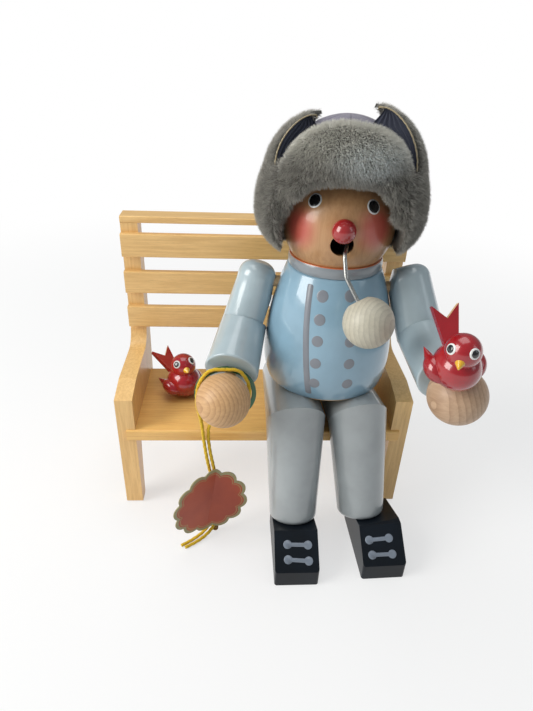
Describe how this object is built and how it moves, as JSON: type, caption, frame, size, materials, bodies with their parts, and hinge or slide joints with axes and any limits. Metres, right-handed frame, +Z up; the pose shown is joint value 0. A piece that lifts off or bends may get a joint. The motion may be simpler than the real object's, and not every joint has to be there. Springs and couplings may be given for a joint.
{
  "type": "german incense smoker",
  "caption": "Seated turned-wood incense smoker on a garden bench, with lift-off hollow body, swinging arms, pipe, fur hat, little birds and a corded tag.",
  "frame": {"origin": "on the floor, under the middle of the whole object's box without its tag cord", "axes": "+X towards the figure's left hand along the bench, +Y towards the bench's back, +Z up"},
  "size_m": [0.184, 0.143, 0.229],
  "materials": {
    "ball_wood": "bare, with growth rings",
    "beak_lacquer": "glossy yellow lacquer",
    "bench_wood": "clear satin lacquer over fine grain",
    "bird_lacquer": "glossy crimson lacquer",
    "collar_lacquer": "glossy lilac grey lacquer",
    "dowel_wood": "raw",
    "face_wood": "satin lacquer over fine grain",
    "faux_fur": "short pile",
    "felt": "felt",
    "jacket_lacquer": "glossy pale blue lacquer",
    "lining_cloth": "woven",
    "nose_lacquer": "glossy red lacquer",
    "plate_brass": "pressed",
    "raw_wood": "raw",
    "ring_plastic": "smooth",
    "shoe_lacquer": "glossy near black lacquer",
    "sleeve_lacquer": "glossy pale blue grey lacquer",
    "tag_card": "printed card, left bare",
    "tag_cord": "braided",
    "trousers_lacquer": "glossy light grey lacquer",
    "wire": "drawn"
  },
  "bodies": {
    "base": {"side_frame_right": "bench_wood", "thigh_right": "trousers_lacquer", "lower_leg_right": "trousers_lacquer", "shoe_right": "shoe_lacquer", "side_frame_left": "bench_wood", "thigh_left": "trousers_lacquer", "lower_leg_left": "trousers_lacquer", "shoe_left": "shoe_lacquer", "seat_board": "bench_wood", "back_slat_upper": "bench_wood", "back_slat_middle": "bench_wood", "back_slat_lower": "bench_wood", "top_rail": "bench_wood", "ankle_dowels": "dowel_wood", "seat_dowels": "dowel_wood", "base_disc": "raw_wood", "incense_plate": "plate_brass", "plate_pin": "plate_brass", "seat_bird_body": "bird_lacquer", "seat_bird_head": "bird_lacquer", "seat_bird_beak": "beak_lacquer", "seat_bird_tail": "bird_lacquer", "seat_bird_wing_right": "bird_lacquer", "seat_bird_wing_left": "bird_lacquer", "seat_bird_peg": "dowel_wood"},
    "upper_body": {"jacket": "jacket_lacquer", "collar": "collar_lacquer", "head": "face_wood", "nose": "nose_lacquer", "hat_crown": "felt", "hat_front_flap": "faux_fur", "hat_neck_band": "faux_fur", "pipe_stem": "wire", "pipe_bowl": "ball_wood", "hat_ear_flap_right": "faux_fur", "hat_lining_right": "lining_cloth", "shoulder_dowel_right": "dowel_wood", "hat_ear_flap_left": "faux_fur", "hat_lining_left": "lining_cloth", "shoulder_dowel_left": "dowel_wood"},
    "right_arm": {"upper_arm_right": "sleeve_lacquer", "forearm_right": "sleeve_lacquer", "wrist_dowel_right": "dowel_wood", "hand_right": "ball_wood", "wrist_ring": "ring_plastic"},
    "left_arm": {"upper_arm_left": "sleeve_lacquer", "forearm_left": "sleeve_lacquer", "wrist_dowel_left": "dowel_wood", "hand_left": "ball_wood", "hand_bird_body": "bird_lacquer", "hand_bird_head": "bird_lacquer", "hand_bird_beak": "beak_lacquer", "hand_bird_tail": "bird_lacquer", "hand_bird_wing_right": "bird_lacquer", "hand_bird_wing_left": "bird_lacquer", "hand_bird_peg": "dowel_wood"},
    "tag": {"tag_card": "tag_card", "tag_cord_a": "tag_cord", "tag_cord_b": "tag_cord", "tag_knot": "tag_cord"}
  },
  "joints": [
    {"name": "body_lift", "type": "slide", "parent": "base", "child": "upper_body", "axis": [0, 0, 1], "range_m": [0, 0.06]},
    {"name": "right_arm_swing", "type": "hinge", "parent": "upper_body", "child": "right_arm", "pos_m": [-0.0138, 0.02141, 0.142], "axis": [-0.9954, 0.0958, 0], "range_deg": [0, 60]},
    {"name": "left_arm_swing", "type": "hinge", "parent": "upper_body", "child": "left_arm", "pos_m": [0.06882, 0.01345, 0.142], "axis": [-0.9954, 0.0958, 0], "range_deg": [-15, 55]},
    {"name": "tag_swing", "type": "hinge", "parent": "right_arm", "child": "tag", "pos_m": [-0.02779, -0.01867, 0.10248], "axis": [-0.9954, 0.0958, 0], "range_deg": [-60, 0], "deforming": ["tag_cord_a", "tag_cord_b"]}
  ],
  "couplings": [
    {"joint": "tag_swing", "follows": "right_arm_swing", "ratio": -1}
  ]
}
